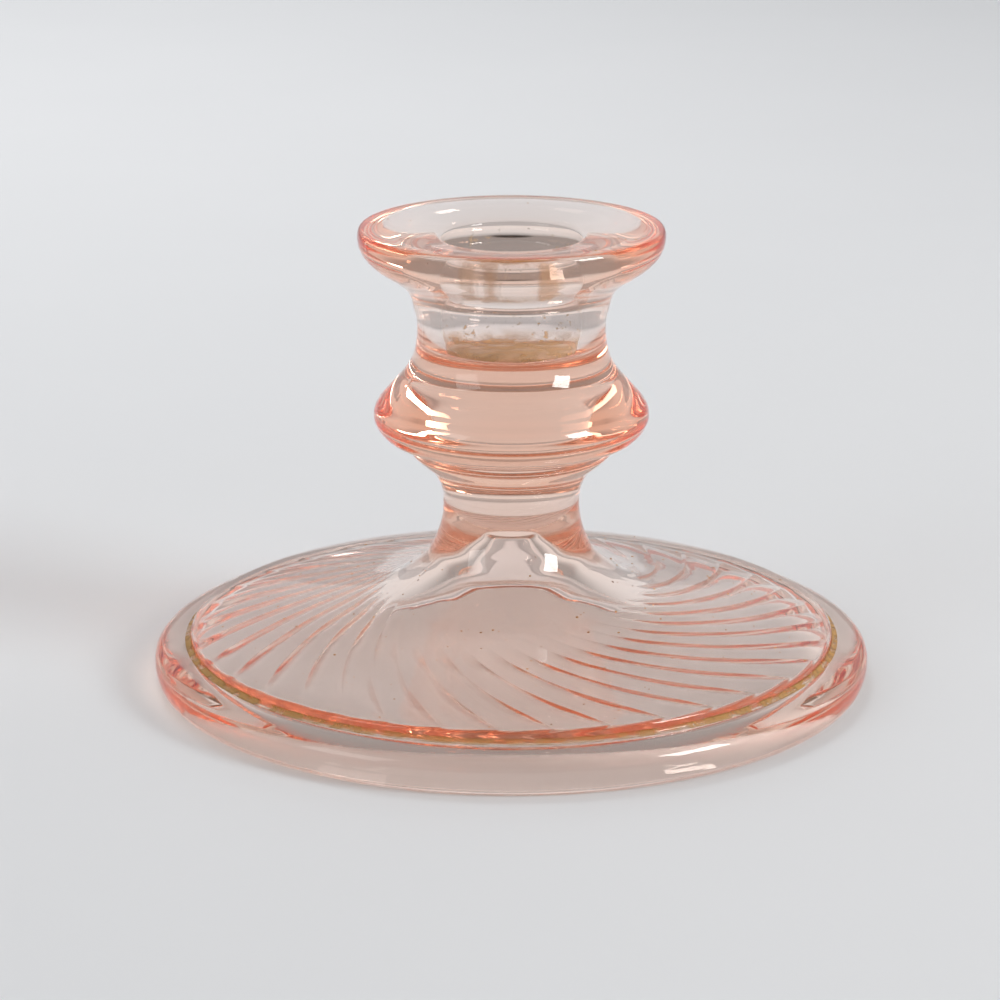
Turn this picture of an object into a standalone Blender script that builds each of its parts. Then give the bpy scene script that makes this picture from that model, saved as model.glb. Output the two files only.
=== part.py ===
"""A low pressed-glass candlestick, modelled as the named sections of its one pressing.

Units are metres and +Z is up. The origin is on the axis, in the plane the foot stands on.
Each section is a turned solid of its own, and neighbours keep a hairline joint between them.
"""

import math

import bpy
import numpy as np
from mathutils.geometry import interpolate_bezier

MM = 0.001
JOINT = 0.3 * MM  # clear gap between neighbouring sections

# Driving dimensions
FOOT_RADIUS = 57.15 * MM
HEIGHT = 73.2 * MM
CANDLE_BORE_RADIUS = 11.0 * MM  # takes a 22 mm candle
BORE_FLOOR_RADIUS = 10.7 * MM
SOCKET_FLOOR = 53.5 * MM

# Heights where one section ends and the next begins
LIP_JOINT = 64.0 * MM
KNOP_TOP = 50.6 * MM
KNOP_BOTTOM = 38.4 * MM
STEM_BOTTOM = 27.0 * MM

# Foot
DISC_RADIUS = 51.35 * MM
DISC_EDGE_HEIGHT = 8.4 * MM
DISC_EDGE_UNDERSIDE = 4.2 * MM
FLARE_RADIUS = 22.0 * MM  # the flare ends and the disc begins here
FLARE_HEIGHT = 14.2 * MM
RIM_SHOULDER = 6.6 * MM
RIM_WIDEST = 3.9 * MM
RIM_OUTER_CONTACT = 55.5 * MM
RIM_INNER_CONTACT = 51.0 * MM
HOLLOW_RADIUS = 50.3 * MM
HOLLOW_INNER_UNDERSIDE = 9.3 * MM

# Hollow left by the plunger's nose
NOSE_TOP = 23.6 * MM
NOSE_TOP_RADIUS = 2.3 * MM

# Spiral ribs under the disc
RIB_COUNT = 35
RIB_DEPTH = 0.31 * MM  # at the hollow's edge, and less inwards, where the flutes are narrower
RIB_SPIRAL = math.radians(41.3)  # the angle a rib keeps to the radius
RIB_PHASE = math.radians(168.2)  # a ridge meets the hollow's edge here
RIB_START_LENGTH = 5.0 * MM  # the flutes deepen over this length outside the flare
RIB_END_LENGTH = 5.0 * MM  # the flutes end round over this length at the rim

# Fineness
TURNED_SIDES = 48
SIDES_PER_RIB = 4
CURVE_STEPS = 3
DISC_RINGS = 9

# Outlines, as (radius, height, heading in degrees). Heading 0 runs outwards and -90 runs down.
LIP_OUTLINE = [
    (23.3 * MM, HEIGHT, 0),
    (24.1 * MM, 71.7 * MM, -90),
    (21.1 * MM, 67.0 * MM, -145),
    (16.9 * MM, LIP_JOINT, -135),
    (15.5 * MM, 61.1 * MM, -103),
    (14.8 * MM, 57.4 * MM, -90),
    (17.3 * MM, 49.5 * MM, -49),
    (20.4 * MM, 46.0 * MM, -49),
    (21.76 * MM, 43.1 * MM, -90),
    (20.6 * MM, 40.5 * MM, -128),
    (16.4 * MM, KNOP_BOTTOM, -155),
]
STEM_OUTLINE = [
    (16.3 * MM, KNOP_BOTTOM - JOINT, -90),
    (15.0 * MM, 36.1 * MM, -136),
    (12.4 * MM, 33.8 * MM, -128),
    (10.8 * MM, 28.6 * MM, -90),
]
FOOT_OUTLINE = [
    (10.8 * MM, 28.6 * MM, -90),
    (12.6 * MM, 21.5 * MM, -65),
    (16.0 * MM, 17.6 * MM, -38),
    (FLARE_RADIUS, FLARE_HEIGHT, -22),
    (32.0 * MM, 11.5 * MM, -12),
    (DISC_RADIUS, DISC_EDGE_HEIGHT, -9),
]
RIM_OUTLINE = [
    (DISC_RADIUS + JOINT, RIM_SHOULDER, 5),
    (FOOT_RADIUS, RIM_WIDEST, -90),
    (RIM_OUTER_CONTACT, 0, -150),
]
DISH_OUTLINE = [
    (CANDLE_BORE_RADIUS, 71.1 * MM, 90),
    (12.2 * MM, 71.9 * MM, 8),
    (23.3 * MM, HEIGHT, 0),
]
RIDGE_OUTLINE = [
    (HOLLOW_RADIUS, DISC_EDGE_UNDERSIDE, 169),
    (32.0 * MM, 7.0 * MM, 168),
    (FLARE_RADIUS, HOLLOW_INNER_UNDERSIDE, 159),
]
NOSE_OUTLINE = [
    (FLARE_RADIUS, HOLLOW_INNER_UNDERSIDE, 159),
    (14.0 * MM, 12.6 * MM, 150),
    (9.0 * MM, 16.0 * MM, 140),
    (5.4 * MM, 19.4 * MM, 124),
    (NOSE_TOP_RADIUS + 0.8 * MM, 22.9 * MM, 118),
    (NOSE_TOP_RADIUS, NOSE_TOP, 180),
]


def contour(knots, steps=CURVE_STEPS):
    """Points of a smooth curve through the knots, each passed at its own heading."""
    points = [knots[0][:2]]
    for start, end in zip(knots, knots[1:]):
        chord = math.hypot(end[0] - start[0], end[1] - start[1])
        handles = []
        for (radius, height, heading), side in ((start, 1), (end, -1)):
            turn = math.radians(heading)
            reach = side * chord * 0.37
            handles.append(
                (radius + reach * math.cos(turn), height + reach * math.sin(turn), 0)
            )
        curve = interpolate_bezier(
            (*start[:2], 0), handles[0], handles[1], (*end[:2], 0), steps + 1
        )
        points += [(point.x, point.y) for point in curve[1:]]
    return points


def cut(points, coordinate, start, end):
    """The stretch of a curve from start to end in radius (coordinate 0) or height (1)."""
    line = np.array(points)
    along = line[:, coordinate]
    order = 1 if along[-1] > along[0] else -1
    low, high = sorted((start, end))

    def at(value):
        return tuple(
            float(np.interp(order * value, order * along, line[:, k])) for k in (0, 1)
        )

    inside = [p for p in points if low + 1e-6 < p[coordinate] < high - 1e-6]
    return [at(start), *inside, at(end)]


def collection(name):
    made = bpy.data.collections.new(name)
    bpy.context.scene.collection.children.link(made)
    return made


def pink_glass(name, colour):
    """Clear tinted glass, deeper in colour where the section is thicker."""
    material = bpy.data.materials.new(name)
    material.use_nodes = True
    shader = material.node_tree.nodes["Principled BSDF"]
    shader.inputs["Base Color"].default_value = (*colour, 1)
    shader.inputs["Roughness"].default_value = 0.03
    shader.inputs["Metallic"].default_value = 0.0
    shader.inputs["IOR"].default_value = 1.52
    shader.inputs["Transmission Weight"].default_value = 1.0
    return material


def place(name, mesh, seat, colour):
    """Put a section in the scene, its origin on the axis at the height it is seated at."""
    mesh.shade_smooth()
    mesh.set_sharp_from_angle(angle=math.radians(35))
    section = bpy.data.objects.new(name, mesh)
    section.location.z = seat
    section.parent = axis
    section.data.materials.append(pink_glass(name + "_glass", colour))
    sections.objects.link(section)
    return section


def turned(name, outline, seat, colour, closed=False, sides=TURNED_SIDES):
    """A section turned from its outline, which is a ring's cross-section if closed."""
    mesh = bpy.data.meshes.new(name)
    points = [(radius, 0, height - seat) for radius, height in outline]
    edges = [(i, i + 1) for i in range(len(points) - 1)]
    if closed:
        edges.append((len(points) - 1, 0))
    mesh.from_pydata(points, edges, [])
    section = place(name, mesh, seat, colour)
    screw = section.modifiers.new("turning", "SCREW")
    screw.steps = sides
    screw.render_steps = sides
    screw.use_merge_vertices = True
    screw.merge_threshold = 0.00001
    screw.use_smooth_shade = True
    return section


def flute_rise(radius, across):
    """How far a flute lifts the disc's underside, across running from ridge to ridge."""
    share = across - math.floor(across)
    start = (radius - FLARE_RADIUS - JOINT) / RIB_START_LENGTH
    end = (radius - HOLLOW_RADIUS) / RIB_END_LENGTH + 1
    scallop = 4 * share * (1 - share) - max(end, 0) ** 2
    depth = RIB_DEPTH * radius / HOLLOW_RADIUS
    return depth * min(max(start, 0), 1) * max(scallop, 0)


def press_flutes(section):
    """Twist the section's mesh along the spiral and press the flutes into its underside."""
    graph = bpy.context.evaluated_depsgraph_get()
    mesh = bpy.data.meshes.new_from_object(section.evaluated_get(graph))
    section.modifiers.clear()
    section.data = mesh
    for vertex in mesh.vertices:
        x, y, z = vertex.co
        radius = math.hypot(x, y)
        underside = ridge_height(radius) - section.location.z
        if abs(z - underside) < 0.01 * MM and radius < HOLLOW_RADIUS:
            z += flute_rise(radius, math.atan2(y, x) * RIB_COUNT / math.tau)
        spiral = math.tan(RIB_SPIRAL) * math.log(radius / HOLLOW_RADIUS)
        turn = math.atan2(y, x) + RIB_PHASE + spiral
        vertex.co = (radius * math.cos(turn), radius * math.sin(turn), z)


def drip_lip():
    inside = [(CANDLE_BORE_RADIUS - 0.05 * MM, LIP_JOINT + JOINT / 2)]
    inside += contour(DISH_OUTLINE)[:-1]
    outside = cut(contour(LIP_OUTLINE), 1, HEIGHT, LIP_JOINT + JOINT / 2)
    turned("drip_lip", inside + outside, LIP_JOINT, (0.97, 0.74, 0.64), closed=True)


def candle_socket():
    fillet = contour(
        [
            (0.9 * BORE_FLOOR_RADIUS, SOCKET_FLOOR, 0),
            (BORE_FLOOR_RADIUS, SOCKET_FLOOR + 1.1 * MM, 90),
        ]
    )
    top = LIP_JOINT - JOINT / 2
    bottom = KNOP_TOP + JOINT / 2
    outline = [(0, SOCKET_FLOOR), *fillet, (CANDLE_BORE_RADIUS - 0.05 * MM, top)]
    outline += cut(contour(LIP_OUTLINE), 1, top, bottom)
    turned("candle_socket", outline + [(0, bottom)], bottom, (0.96, 0.76, 0.68))


def knop():
    top = KNOP_TOP - JOINT / 2
    outline = [(0, top), *cut(contour(LIP_OUTLINE), 1, top, KNOP_BOTTOM)]
    turned("knop", outline + [(0, KNOP_BOTTOM)], KNOP_BOTTOM, (0.93, 0.62, 0.53))


def stem():
    top = KNOP_BOTTOM - JOINT
    bottom = STEM_BOTTOM + JOINT / 2
    outline = [(0, top), *contour(STEM_OUTLINE)]
    outline += cut(contour(FOOT_OUTLINE), 1, STEM_OUTLINE[-1][1], bottom)[1:]
    turned("stem", outline + [(0, bottom)], bottom, (0.94, 0.66, 0.57))


def foot_flare():
    top = STEM_BOTTOM - JOINT / 2
    base = cut(contour(FOOT_OUTLINE), 0, STEM_OUTLINE[-1][0], FLARE_RADIUS)
    outside = [(0, top), *cut(base, 1, top, base[-1][1])]
    nose = contour(NOSE_OUTLINE) + [(0, NOSE_TOP)]
    turned("foot_flare", outside + nose, HOLLOW_INNER_UNDERSIDE, (0.95, 0.72, 0.63))


def ridge_height(radius):
    """The underside's height along the ridges, which keep an even thickness under the top."""
    line = np.array(contour(RIDGE_OUTLINE))[::-1]
    return float(np.interp(radius, line[:, 0], line[:, 1]))


def foot_disc():
    start = FLARE_RADIUS + JOINT
    top = cut(contour(FOOT_OUTLINE, DISC_RINGS), 0, start, DISC_RADIUS)
    rings = np.linspace(HOLLOW_RADIUS, start, DISC_RINGS + 1)
    underside = [(float(radius), ridge_height(float(radius))) for radius in rings]
    outline = top + [(DISC_RADIUS, DISC_EDGE_UNDERSIDE), *underside]
    section = turned(
        "foot_disc",
        outline,
        DISC_EDGE_UNDERSIDE,
        (0.96, 0.80, 0.74),
        closed=True,
        sides=RIB_COUNT * SIDES_PER_RIB,
    )
    press_flutes(section)


def foot_rim():
    seat = DISC_EDGE_UNDERSIDE - JOINT
    outline = contour(RIM_OUTLINE)
    outline += [(RIM_INNER_CONTACT, 0), (HOLLOW_RADIUS, seat)]
    outline += [(DISC_RADIUS + JOINT, seat)]
    turned("foot_rim", outline, 0, (0.95, 0.81, 0.75), closed=True)


for old in list(bpy.data.objects):
    bpy.data.objects.remove(old)

sections = collection("glass_candlestick")
axis = bpy.data.objects.new("turning_axis", None)
sections.objects.link(axis)

drip_lip()
candle_socket()
knop()
stem()
foot_flare()
foot_disc()
foot_rim()
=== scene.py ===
"""A low candlestick of pale pink pressed glass, standing on a plain pale floor.

Units are metres and +Z is up. The glass is one body, turned about the axis of the candle
socket, with spiral flutes pressed into the underside of its foot.
"""

import math

import bpy
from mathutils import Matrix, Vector
from mathutils.geometry import interpolate_bezier


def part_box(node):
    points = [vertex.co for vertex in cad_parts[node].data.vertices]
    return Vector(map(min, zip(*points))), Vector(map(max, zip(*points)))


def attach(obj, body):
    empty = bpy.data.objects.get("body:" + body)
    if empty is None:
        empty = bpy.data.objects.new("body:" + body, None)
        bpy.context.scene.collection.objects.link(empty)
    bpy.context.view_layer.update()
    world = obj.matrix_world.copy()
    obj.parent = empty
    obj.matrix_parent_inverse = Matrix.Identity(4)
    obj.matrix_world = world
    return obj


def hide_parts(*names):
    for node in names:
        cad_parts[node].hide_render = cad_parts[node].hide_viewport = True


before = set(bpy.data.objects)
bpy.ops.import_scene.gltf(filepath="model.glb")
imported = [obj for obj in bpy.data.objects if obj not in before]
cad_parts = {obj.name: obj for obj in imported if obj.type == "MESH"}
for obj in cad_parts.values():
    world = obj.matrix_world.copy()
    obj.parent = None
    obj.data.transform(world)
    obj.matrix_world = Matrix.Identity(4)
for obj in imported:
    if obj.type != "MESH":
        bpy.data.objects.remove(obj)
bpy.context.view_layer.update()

MM = 0.001

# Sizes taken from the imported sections
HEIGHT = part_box("drip_lip")[1].z
LIP_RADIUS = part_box("drip_lip")[1].x
FOOT_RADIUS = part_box("foot_rim")[1].x
KNOP_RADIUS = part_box("knop")[1].x

# Candle socket
BORE_RADIUS = 11.0 * MM
BORE_FLOOR_RADIUS = 10.7 * MM
SOCKET_FLOOR = 53.5 * MM

# Foot
DISC_RADIUS = 51.35 * MM
DISC_EDGE_HEIGHT = 8.4 * MM
RIM_SHOULDER = 6.6 * MM
HOLLOW_RADIUS = 50.3 * MM
HOLLOW_EDGE_UNDERSIDE = 4.2 * MM

# Spiral flutes
RIB_COUNT = 35
SIDES_PER_RIB = 12
FLUTE_DEPTH = 0.31 * MM
RIB_SPIRAL = math.radians(41.3)
RIB_PHASE = math.radians(168.2)
FLUTE_INNER_RADIUS = 18.0 * MM
FLUTE_END_LENGTH = 5.0 * MM

# Outline of the glass, as (radius, height, heading in degrees). Heading 0 runs outwards.
FOOT_TOP = [
    (12.6 * MM, 21.5 * MM, -65),
    (16.0 * MM, 17.6 * MM, -38),
    (22.0 * MM, 14.2 * MM, -22),
    (32.0 * MM, 11.5 * MM, -12),
    (DISC_RADIUS - 0.7 * MM, DISC_EDGE_HEIGHT + 0.1 * MM, -9),
]
DISH = [(12.2 * MM, 71.9 * MM, 8), (23.3 * MM, HEIGHT, 0)]
BORE = [
    (0.0, SOCKET_FLOOR, 0),
    (9.6 * MM, SOCKET_FLOOR, 0),
    (BORE_FLOOR_RADIUS, SOCKET_FLOOR + 1.1 * MM, 90),
    (BORE_RADIUS, 71.1 * MM, 90),
    *DISH,
]
OUTSIDE = [
    (23.3 * MM, HEIGHT, 0),
    (LIP_RADIUS, 71.7 * MM, -90),
    (21.1 * MM, 67.0 * MM, -145),
    (16.9 * MM, 64.0 * MM, -135),
    (15.5 * MM, 61.1 * MM, -103),
    (14.8 * MM, 57.4 * MM, -90),
    (17.3 * MM, 49.5 * MM, -49),
    (20.4 * MM, 46.0 * MM, -49),
    (KNOP_RADIUS, 43.1 * MM, -90),
    (20.6 * MM, 40.5 * MM, -128),
    (16.4 * MM, 38.4 * MM, -155),
    (16.2 * MM, 38.0 * MM, -90),
    (15.0 * MM, 36.1 * MM, -136),
    (12.4 * MM, 33.8 * MM, -128),
    (10.8 * MM, 28.6 * MM, -90),
    *FOOT_TOP,
]
STEP_AND_RIM = [
    (DISC_RADIUS - 0.7 * MM, DISC_EDGE_HEIGHT + 0.1 * MM, -9),
    (DISC_RADIUS, DISC_EDGE_HEIGHT - 0.7 * MM, -90),
    (DISC_RADIUS + 0.5 * MM, RIM_SHOULDER, 0),
    (FOOT_RADIUS, 3.9 * MM, -90),
    (55.5 * MM, 0.0, -150),
]
HOLLOW = [
    (55.5 * MM, 0.0, 180),
    (51.0 * MM, 0.0, 180),
    (HOLLOW_RADIUS, 0.7 * MM, 90),
    (HOLLOW_RADIUS, HOLLOW_EDGE_UNDERSIDE - 0.6 * MM, 90),
    (HOLLOW_RADIUS - 0.6 * MM, HOLLOW_EDGE_UNDERSIDE, 169),
]
UNDERSIDE = [
    (HOLLOW_RADIUS - 0.6 * MM, HOLLOW_EDGE_UNDERSIDE, 169),
    (32.0 * MM, 7.0 * MM, 168),
    (22.0 * MM, 9.3 * MM, 159),
    (14.0 * MM, 12.6 * MM, 150),
    (9.0 * MM, 16.0 * MM, 140),
    (5.4 * MM, 19.4 * MM, 124),
    (3.1 * MM, 22.9 * MM, 118),
    (2.3 * MM, 23.6 * MM, 180),
    (0.0, 23.6 * MM, 180),
]

# Round studio sweep, and the hair's breadth of air under the foot
SWEEP = [(0.0, 0.0, 0), (1.15, 0.0, 0), (1.5, 0.12, 50), (1.6, 0.27, 65)]
FLOOR_GAP = 0.06 * MM


class Bench:
    """Puts nodes into a tree and wires them. A wire is a socket, or a plain value."""

    def __init__(self, tree):
        self.tree = tree

    def node(self, kind, *wires, **settings):
        made = self.tree.nodes.new(kind)
        for name, value in settings.items():
            setattr(made, name, value)
        for place, wire in enumerate(wires):
            self.wire(wire, made.inputs[place])
        return made

    def wire(self, wire, socket):
        if wire is None:
            return
        if isinstance(wire, bpy.types.NodeSocket):
            self.tree.links.new(wire, socket)
        else:
            socket.default_value = wire

    def math(self, operation, *wires):
        return self.node("ShaderNodeMath", *wires, operation=operation).outputs[0]

    def ramp(self, wire, low, high, to_low=0.0, to_high=1.0):
        """The wire's value carried from one span to another, held at the ends."""
        made = self.node("ShaderNodeMapRange", wire, low, high, to_low, to_high)
        return made.outputs[0]


def contour(knots, steps):
    """Points of a smooth curve through the knots, each passed at its own heading."""
    points = [knots[0][:2]]
    for start, end in zip(knots, knots[1:]):
        chord = math.hypot(end[0] - start[0], end[1] - start[1])
        handles = []
        for (radius, height, heading), side in ((start, 1), (end, -1)):
            turn = math.radians(heading)
            reach = side * chord * 0.37
            handles.append(
                (radius + reach * math.cos(turn), height + reach * math.sin(turn), 0)
            )
        curve = interpolate_bezier(
            (*start[:2], 0), handles[0], handles[1], (*end[:2], 0), steps + 1
        )
        points += [(point.x, point.y) for point in curve[1:]]
    return points


def outline_object(name, stretches):
    """The outline as a line of points, each marked 1 where it lies on the fluted underside."""
    points, marks = [], []
    for knots, steps, mark in stretches:
        line = contour(knots, steps)
        points += line[1:] if points else line
        marks += [mark] * (len(points) - len(marks))
    mesh = bpy.data.meshes.new(name)
    edges = [(i, i + 1) for i in range(len(points) - 1)]
    mesh.from_pydata([(radius, 0, height) for radius, height in points], edges, [])
    underside = mesh.attributes.new("underside", "FLOAT", "POINT")
    underside.data.foreach_set("value", marks)
    made = bpy.data.objects.new(name, mesh)
    bpy.context.scene.collection.objects.link(made)
    return made


def new_tree(name, sockets):
    tree = bpy.data.node_groups.new(name, "GeometryNodeTree")
    tree.interface.new_socket("Geometry", in_out="INPUT", socket_type="NodeSocketGeometry")
    for label, kind in sockets:
        tree.interface.new_socket(label, in_out="INPUT", socket_type="NodeSocket" + kind)
    tree.interface.new_socket("Geometry", in_out="OUTPUT", socket_type="NodeSocketGeometry")
    return tree, Bench(tree)


def finish_tree(bench, geometry, glass):
    """Every tree ends in real geometry with its material on it."""
    real = bench.node("GeometryNodeRealizeInstances", geometry).outputs[0]
    dressed = bench.node("GeometryNodeSetMaterial", real, None, glass).outputs[0]
    bench.node("NodeGroupOutput", dressed)


def apply_tree(holder, tree, values):
    """Run a tree on the holder with these values, and keep the result as a plain mesh."""
    modifier = holder.modifiers.new(tree.name, "NODES")
    modifier.node_group = tree
    for item in tree.interface.items_tree:
        if item.in_out == "INPUT" and item.name in values:
            modifier[item.identifier] = values[item.name]
    graph = bpy.context.evaluated_depsgraph_get()
    mesh = bpy.data.meshes.new_from_object(holder.evaluated_get(graph))
    holder.modifiers.remove(modifier)
    holder.data = mesh
    return holder


def turned_glass_tree():
    """Turns an outline about the axis and presses spiral flutes into its underside."""
    tree, bench = new_tree(
        "turned_and_fluted_glass",
        [
            ("Sides", "Int"),
            ("Rib Count", "Int"),
            ("Flute Depth", "Float"),
            ("Rib Spiral", "Float"),
            ("Rib Phase", "Float"),
            ("Flute Inner Radius", "Float"),
            ("Flute Outer Radius", "Float"),
            ("Flute End Length", "Float"),
            ("Seam Height", "Float"),
            ("Seam Turn", "Float"),
            ("Glass", "Material"),
        ],
    )
    given = bench.node("NodeGroupInput").outputs
    outline = given["Geometry"]
    count = bench.node("GeometryNodeAttributeDomainSize", outline).outputs["Point Count"]
    columns = bench.math("ADD", given["Sides"], 1)
    grid = bench.node("GeometryNodeMeshGrid", 1, 1, columns, count)
    place = bench.node("GeometryNodeInputPosition").outputs[0]
    across_and_along = bench.node("ShaderNodeSeparateXYZ", place).outputs
    along = bench.math("ADD", across_and_along[1], 0.5)
    step = bench.math("ROUND", bench.math("MULTIPLY", along, bench.math("SUBTRACT", count, 1)))
    turn = bench.math("MULTIPLY", bench.math("ADD", across_and_along[0], 0.5), math.tau)

    point = bench.node(
        "GeometryNodeSampleIndex", outline, data_type="FLOAT_VECTOR"
    )
    bench.wire(place, point.inputs["Value"])
    bench.wire(step, point.inputs["Index"])
    section = bench.node("ShaderNodeSeparateXYZ", point.outputs[0]).outputs
    radius, height = section[0], section[2]
    mark = bench.node("GeometryNodeInputNamedAttribute", "underside", data_type="FLOAT")
    under = bench.node("GeometryNodeSampleIndex", outline, data_type="FLOAT")
    bench.wire(mark.outputs[0], under.inputs["Value"])
    bench.wire(step, under.inputs["Index"])
    under = under.outputs[0]

    inner, outer = given["Flute Inner Radius"], given["Flute Outer Radius"]
    held = bench.math("MAXIMUM", radius, inner)
    growth = bench.math("LOGARITHM", bench.math("DIVIDE", held, outer), math.e)
    spiral = bench.math("MULTIPLY", bench.math("TANGENT", given["Rib Spiral"]), growth)
    spiral = bench.math("MULTIPLY", spiral, under)
    angle = bench.math("ADD", bench.math("ADD", turn, spiral), given["Rib Phase"])

    ribs = bench.math("MULTIPLY", turn, bench.math("DIVIDE", given["Rib Count"], math.tau))
    fraction = bench.math("FRACT", bench.math("ADD", ribs, 0.0001))
    back = bench.math("SUBTRACT", 1, fraction)
    scallop = bench.math("MULTIPLY", bench.math("MULTIPLY", fraction, back), 4)
    end_length = given["Flute End Length"]
    past = bench.math("SUBTRACT", radius, bench.math("SUBTRACT", outer, end_length))
    lift = bench.ramp(past, 0, end_length)
    scallop = bench.math("SUBTRACT", scallop, bench.math("MULTIPLY", lift, lift))
    scallop = bench.math("MAXIMUM", scallop, 0)
    width = bench.math("DIVIDE", radius, outer)
    full = bench.math("MULTIPLY", inner, 1.4)  # the flutes are at full depth from here out
    depth = bench.math("MULTIPLY", width, bench.ramp(radius, inner, full))
    rise = bench.math("MULTIPLY", scallop, bench.math("MULTIPLY", depth, under))
    rise = bench.math("MULTIPLY", rise, given["Flute Depth"])

    # the mould's two seams, a half turn apart
    half_turn = bench.math("SUBTRACT", angle, given["Seam Turn"])
    away = bench.math("ABSOLUTE", bench.math("SINE", half_turn))
    outwards = bench.math("SUBTRACT", 1, under)
    seam = bench.ramp(away, 0.0, 0.012, 1, 0)
    seam = bench.math("MULTIPLY", seam, bench.math("MULTIPLY", outwards, given["Seam Height"]))
    clear_of_bore = bench.ramp(radius, 12.0 * MM, 14.0 * MM)
    seamed = bench.math("ADD", radius, bench.math("MULTIPLY", seam, clear_of_bore))

    x = bench.math("MULTIPLY", seamed, bench.math("COSINE", angle))
    y = bench.math("MULTIPLY", seamed, bench.math("SINE", angle))
    z = bench.math("ADD", height, rise)
    moved = bench.node("GeometryNodeSetPosition", grid.outputs["Mesh"])
    spot = bench.node("ShaderNodeCombineXYZ", x, y, z).outputs[0]
    bench.wire(spot, moved.inputs["Position"])
    closed = bench.node("GeometryNodeMergeByDistance", moved.outputs[0])
    bench.wire(0.002 * MM, closed.inputs["Distance"])
    outward = bench.node("GeometryNodeFlipFaces", closed.outputs[0]).outputs[0]
    smooth = bench.node("GeometryNodeSetShadeSmooth", outward).outputs[0]
    finish_tree(bench, smooth, given["Glass"])
    return tree


def new_material(name):
    material = bpy.data.materials.new(name)
    material.use_nodes = True
    tree = material.node_tree
    shader = tree.nodes["Principled BSDF"]
    return material, Bench(tree), shader, tree.nodes["Material Output"]


def pink_glass():
    """Pale pink glass: clear where it is thin, salmon where it is thick.

    Lamps shine through it along straight lines with a plain tint, so that they light the
    floor under the foot.
    """
    material, bench, shader, output = new_material("pink_pressed_glass")
    place = bench.node("ShaderNodeTexCoord").outputs["Object"]
    ripple = bench.node("ShaderNodeTexNoise")
    bench.wire(place, ripple.inputs["Vector"])
    ripple.inputs["Scale"].default_value = 90
    ripple.inputs["Detail"].default_value = 2
    bump = bench.node("ShaderNodeBump")
    bump.inputs["Strength"].default_value = 1.0
    bump.inputs["Distance"].default_value = 0.00006
    bench.wire(ripple.outputs[0], bump.inputs["Height"])
    bench.wire(bump.outputs[0], shader.inputs["Normal"])
    shader.inputs["Base Color"].default_value = (1, 0.985, 0.985, 1)
    shader.inputs["Roughness"].default_value = 0.0
    shader.inputs["Metallic"].default_value = 0.0
    shader.inputs["IOR"].default_value = 1.52
    shader.inputs["Transmission Weight"].default_value = 1.0
    lamplight = bench.node("ShaderNodeBsdfTransparent", (0.59, 0.545, 0.52, 1))
    shaded = bench.node("ShaderNodeLightPath").outputs["Is Shadow Ray"]
    both = bench.node(
        "ShaderNodeMixShader", shaded, shader.outputs[0], lamplight.outputs[0]
    )
    bench.wire(both.outputs[0], output.inputs["Surface"])
    tint = bench.node("ShaderNodeVolumeAbsorption", (0.965, 0.38, 0.03, 1), 20.0)
    bench.wire(tint.outputs[0], output.inputs["Volume"])
    return material


def glass_body(glass):
    line = outline_object(
        "candlestick_glass",
        [
            (BORE, 6, 0),
            (OUTSIDE, 5, 0),
            (STEP_AND_RIM, 6, 0),
            (HOLLOW, 4, 0),
            (UNDERSIDE, 7, 1),
        ],
    )
    values = {
        "Sides": RIB_COUNT * SIDES_PER_RIB,
        "Rib Count": RIB_COUNT,
        "Flute Depth": FLUTE_DEPTH,
        "Rib Spiral": RIB_SPIRAL,
        "Rib Phase": RIB_PHASE,
        "Flute Inner Radius": FLUTE_INNER_RADIUS,
        "Flute Outer Radius": HOLLOW_RADIUS - 0.6 * MM,
        "Flute End Length": FLUTE_END_LENGTH,
        "Seam Height": 0.05 * MM,
        "Seam Turn": math.radians(22),
        "Glass": glass,
    }
    return apply_tree(line, turned_glass_tree(), values)


def film(name, colour, cover):
    """A dry stain that covers only part of the sheet it is put on."""
    material, bench, shader, _ = new_material(name)
    place = bench.node("ShaderNodeTexCoord").outputs["Object"]
    shader.inputs["Base Color"].default_value = (*colour, 1)
    shader.inputs["Roughness"].default_value = 0.6
    bench.wire(cover(bench, place), shader.inputs["Alpha"])
    return material


def patchy(bench, place, scale, low, high, to_low=0.0, to_high=1.0):
    """Noise cut off into patches."""
    noise = bench.node("ShaderNodeTexNoise")
    bench.wire(place, noise.inputs["Vector"])
    noise.inputs["Scale"].default_value = scale
    noise.inputs["Detail"].default_value = 4
    return bench.ramp(noise.outputs[0], low, high, to_low, to_high)


def wax_cover(bench, place):
    """Wax lies on the socket's floor, in flecks up its wall and in a smear under the mouth."""
    _, y, z = bench.node("ShaderNodeSeparateXYZ", place).outputs
    floor = bench.ramp(z, SOCKET_FLOOR + 0.6 * MM, SOCKET_FLOOR + 4.5 * MM, 1, 0)
    floor = bench.math("MULTIPLY", floor, patchy(bench, place, 260, 0.38, 0.62, 0.1, 0.75))
    flecks = bench.ramp(z, SOCKET_FLOOR + 1.0 * MM, 67.0 * MM, 0.85, 0.3)
    flecks = bench.math("MULTIPLY", flecks, patchy(bench, place, 700, 0.63, 0.70))
    smear = bench.ramp(z, 67.5 * MM, 68.8 * MM)
    smear = bench.math("MULTIPLY", smear, bench.ramp(y, -9.6 * MM, -7.8 * MM, 1, 0))
    smear = bench.math("MULTIPLY", smear, patchy(bench, place, 420, 0.42, 0.60, 0.05, 0.4))
    return bench.math("MAXIMUM", smear, bench.math("MAXIMUM", floor, flecks))


def lime_cover(bench, place):
    """Lime has dried along the step, thickest towards the two sides."""
    x = bench.node("ShaderNodeSeparateXYZ", place).outputs[0]
    side = bench.ramp(bench.math("ABSOLUTE", x), 15.0 * MM, 45.0 * MM, 0.45, 0.95)
    return bench.math("MULTIPLY", side, patchy(bench, place, 330, 0.36, 0.56, 0.05))


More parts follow.
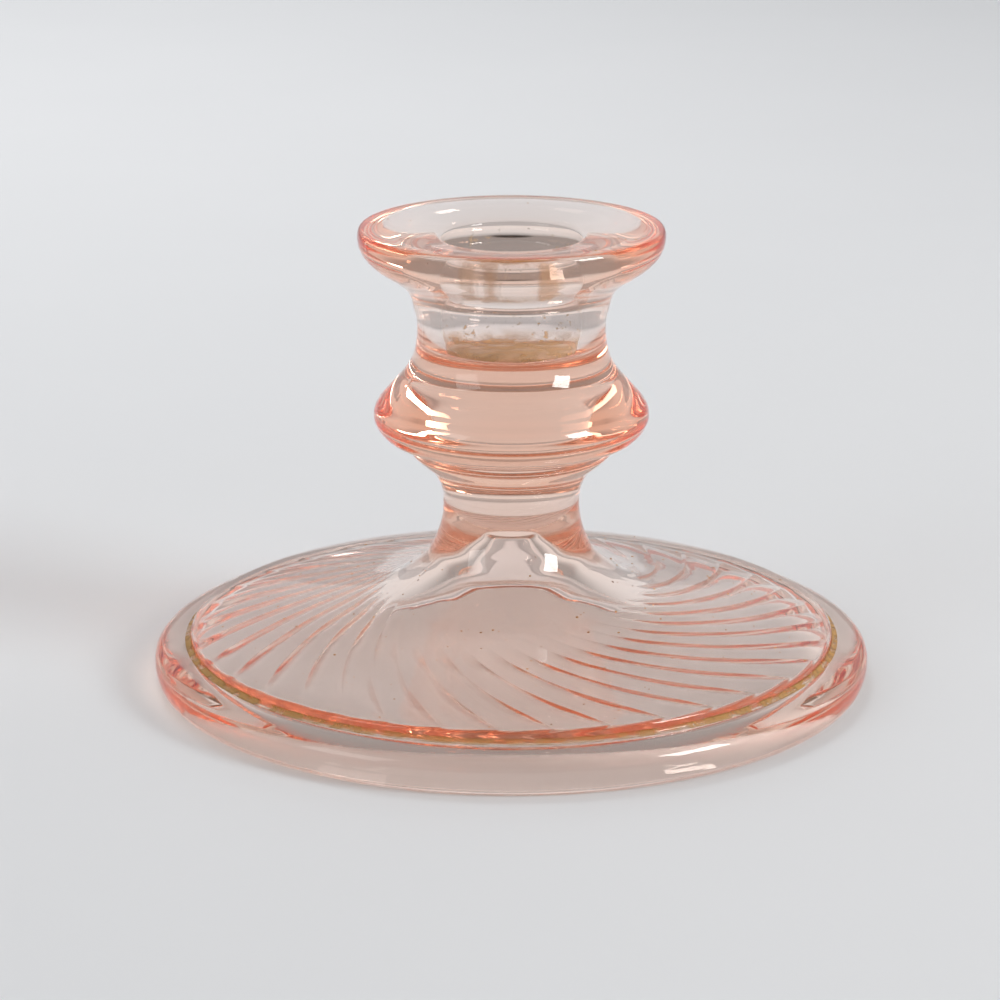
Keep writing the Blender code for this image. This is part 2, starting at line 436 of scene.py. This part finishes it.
def turned_sheet(name, lines, material, sides=180, closed=False):
    """Lines of (radius, height) points turned about the axis into a plain mesh."""
    mesh = bpy.data.meshes.new(name)
    points, edges = [], []
    for line in lines:
        first = len(points)
        points += [(radius, 0, height) for radius, height in line]
        edges += [(i, i + 1) for i in range(first, len(points) - 1)]
        if closed:
            edges.append((len(points) - 1, first))
    mesh.from_pydata(points, edges, [])
    made = bpy.data.objects.new(name, mesh)
    bpy.context.scene.collection.objects.link(made)
    screw = made.modifiers.new("turning", "SCREW")
    screw.steps = sides
    screw.render_steps = sides
    screw.use_merge_vertices = True
    screw.merge_threshold = 0.01 * MM
    screw.use_smooth_shade = True
    graph = bpy.context.evaluated_depsgraph_get()
    turned = bpy.data.meshes.new_from_object(made.evaluated_get(graph))
    made.modifiers.clear()
    made.data = turned
    if material:
        made.data.materials.append(material)
    return made


def wax_film():
    top = [
        (0.0, SOCKET_FLOOR + 0.16 * MM, 0),
        (9.5 * MM, SOCKET_FLOOR + 0.16 * MM, 0),
        (10.54 * MM, SOCKET_FLOOR + 1.2 * MM, 90),
        (BORE_RADIUS - 0.2 * MM, 70.6 * MM, 90),
    ]
    bottom = [
        (BORE_RADIUS - 0.08 * MM, 70.6 * MM, -90),
        (10.64 * MM, SOCKET_FLOOR + 1.1 * MM, -90),
        (9.55 * MM, SOCKET_FLOOR + 0.06 * MM, 180),
        (0.0, SOCKET_FLOOR + 0.06 * MM, 180),
    ]
    colour = film("dried_wax", (0.62, 0.40, 0.17), wax_cover)
    return turned_sheet("wax_film", [contour(top, 6) + contour(bottom, 6)], colour)


def lime_line():
    corner = [
        (DISC_RADIUS + 0.10 * MM, RIM_SHOULDER + 0.20 * MM),
        (DISC_RADIUS + 0.06 * MM, RIM_SHOULDER + 0.75 * MM),
        (DISC_RADIUS + 0.20 * MM, RIM_SHOULDER + 0.50 * MM),
        (DISC_RADIUS + 0.50 * MM, RIM_SHOULDER + 0.25 * MM),
        (DISC_RADIUS + 0.95 * MM, RIM_SHOULDER + 0.12 * MM),
        (DISC_RADIUS + 0.90 * MM, RIM_SHOULDER + 0.02 * MM),
    ]
    colour = film("dried_lime", (0.50, 0.27, 0.08), lime_cover)
    return turned_sheet("lime_line", [corner], colour, 360, closed=True)


def speck_tree():
    """Scatters small flattened specks over a surface, each lying on it at random."""
    tree, bench = new_tree(
        "scattered_specks",
        [
            ("Density", "Float"),
            ("Smallest Radius", "Float"),
            ("Largest Radius", "Float"),
            ("Flatness", "Float"),
            ("Seed", "Int"),
            ("Dirt", "Material"),
        ],
    )
    given = bench.node("NodeGroupInput").outputs
    spread = bench.node("GeometryNodeDistributePointsOnFaces", given["Geometry"])
    bench.wire(given["Density"], spread.inputs["Density"])
    bench.wire(given["Seed"], spread.inputs["Seed"])
    size = bench.node("FunctionNodeRandomValue", data_type="FLOAT")
    bench.wire(given["Seed"], size.inputs["Seed"])
    rare = bench.math("POWER", size.outputs["Value"], 4)
    radius = bench.ramp(rare, 0, 1, given["Smallest Radius"], given["Largest Radius"])
    flat = bench.math("MULTIPLY", radius, given["Flatness"])
    grain = bench.node("GeometryNodeMeshIcoSphere")
    grain.inputs["Radius"].default_value = 1.0
    grain.inputs["Subdivisions"].default_value = 1
    placed = bench.node("GeometryNodeInstanceOnPoints", spread.outputs["Points"])
    bench.wire(grain.outputs["Mesh"], placed.inputs["Instance"])
    bench.wire(spread.outputs["Rotation"], placed.inputs["Rotation"])
    shape = bench.node("ShaderNodeCombineXYZ", radius, bench.math("MULTIPLY", radius, 0.7), flat)
    bench.wire(shape.outputs[0], placed.inputs["Scale"])
    finish_tree(bench, placed.outputs[0], given["Dirt"])
    return tree


def specks():
    """Brown specks on the foot and the lip."""
    material, bench, shader, _ = new_material("brown_specks")
    place = bench.node("ShaderNodeTexCoord").outputs["Object"]
    tone = bench.node("ShaderNodeValToRGB", patchy(bench, place, 150, 0.35, 0.65))
    tone.color_ramp.elements[0].color = (0.26, 0.13, 0.05, 1)
    tone.color_ramp.elements[1].color = (0.60, 0.34, 0.13, 1)
    bench.wire(tone.outputs[0], shader.inputs["Base Color"])
    shader.inputs["Roughness"].default_value = 0.7
    foot = contour(FOOT_TOP, 8)
    lip = contour(DISH, 8)
    ground = turned_sheet("specks", [foot, lip], None, 120)
    values = {
        "Density": 60000.0,
        "Smallest Radius": 0.04 * MM,
        "Largest Radius": 0.32 * MM,
        "Flatness": 0.35,
        "Seed": 7,
        "Dirt": material,
    }
    return apply_tree(ground, speck_tree(), values)


def studio():
    """A plain pale floor in a pale room, with a key, a weaker side light and a fill."""
    scene = bpy.context.scene
    mesh = bpy.data.meshes.new("studio_floor")
    sweep = [(x, 0, z - FLOOR_GAP) for x, z in contour(SWEEP, 8)]
    mesh.from_pydata(sweep, [(i, i + 1) for i in range(len(sweep) - 1)], [])
    floor = bpy.data.objects.new("studio_floor", mesh)
    scene.collection.objects.link(floor)
    screw = floor.modifiers.new("round_sweep", "SCREW")
    screw.steps = 96
    screw.render_steps = 96
    screw.use_smooth_shade = True
    screw.use_merge_vertices = True
    screw.merge_threshold = 0.0001
    material, bench, shader, _ = new_material("pale_floor")
    place = bench.node("ShaderNodeTexCoord").outputs["Object"]
    grain = bench.node("ShaderNodeTexNoise")
    bench.wire(place, grain.inputs["Vector"])
    grain.inputs["Scale"].default_value = 14
    tone = bench.node("ShaderNodeValToRGB", grain.outputs[0])
    tone.color_ramp.elements[0].color = (0.78, 0.785, 0.80, 1)
    tone.color_ramp.elements[1].color = (0.80, 0.805, 0.82, 1)
    bench.wire(tone.outputs[0], shader.inputs["Base Color"])
    shader.inputs["Roughness"].default_value = 0.8
    mesh.materials.append(material)

    world = bpy.data.worlds.new("studio_room")
    world.use_nodes = True
    scene.world = world
    bench = Bench(world.node_tree)
    direction = bench.node("ShaderNodeTexCoord").outputs["Generated"]
    up = bench.node("ShaderNodeSeparateXYZ", direction).outputs[2]
    shade = bench.node("ShaderNodeValToRGB", up)
    ramp = shade.color_ramp
    ramp.elements[0].position = 0.0
    ramp.elements[0].color = (1.7, 1.7, 1.7, 1)
    ramp.elements[1].position = 1.0
    ramp.elements[1].color = (0.03, 0.03, 0.03, 1)
    for height, tone in ((0.35, 1.60), (0.60, 0.78), (0.985, 0.66), (0.994, 0.04)):
        step = ramp.elements.new(height)
        step.color = (0.97 * tone, 0.99 * tone, 1.01 * tone, 1)
    back = world.node_tree.nodes["Background"]
    bench.wire(shade.outputs[0], back.inputs["Color"])
    back.inputs["Strength"].default_value = 0.5

    middle = (0, 0, HEIGHT / 2)
    lamp("key_light", (0.85, -0.44, 0.57), middle, 0.36, 6.6, (1.0, 0.985, 0.96))
    lamp("side_light", (-0.80, -0.56, 0.60), middle, 0.5, 1.6, (1.0, 1.0, 1.0))
    fill = lamp("floor_fill", (-0.30, 0.55, 1.30), (-0.30, 0.55, 0), 0.5, 1.35, (1.0, 1.0, 1.0))
    fill.data.spread = math.radians(70)
    fill.visible_glossy = False
    fill.visible_transmission = False


def lamp(name, place, aim, size, power, colour):
    """A square soft light at a place, pointed at its aim."""
    data = bpy.data.lights.new(name, "AREA")
    data.shape = "SQUARE"
    data.size = size
    data.energy = power
    data.color = colour
    made = bpy.data.objects.new(name, data)
    made.location = place
    towards = Vector(aim) - Vector(place)
    made.rotation_euler = towards.to_track_quat("-Z", "Y").to_euler()
    bpy.context.scene.collection.objects.link(made)
    return made


def camera():
    data = bpy.data.cameras.new("camera")
    data.sensor_width = 36
    data.lens = 130.3
    made = bpy.data.objects.new("camera", data)
    made.location = (-0.0018, -0.552, 0.194)
    made.rotation_euler = (math.pi / 2 - 0.291, 0, 0)
    bpy.context.scene.collection.objects.link(made)
    bpy.context.scene.camera = made


camera()
studio()
body = glass_body(pink_glass())
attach(body, "root")
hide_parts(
    "drip_lip", "candle_socket", "knop", "stem", "foot_flare", "foot_disc", "foot_rim"
)
stains = (
    (wax_film(), "socket_glass"),
    (lime_line(), "rim_glass"),
    (specks(), "foot_glass"),
)
for stain, slot in stains:
    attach(stain, "root")

view = bpy.context.scene.view_settings
view.view_transform = "Standard"
cycles = bpy.context.scene.cycles
for limit in ("max_bounces", "glossy_bounces", "transmission_bounces"):
    setattr(cycles, limit, 96)
cycles.transparent_max_bounces = 24
cycles.sample_clamp_indirect = 0
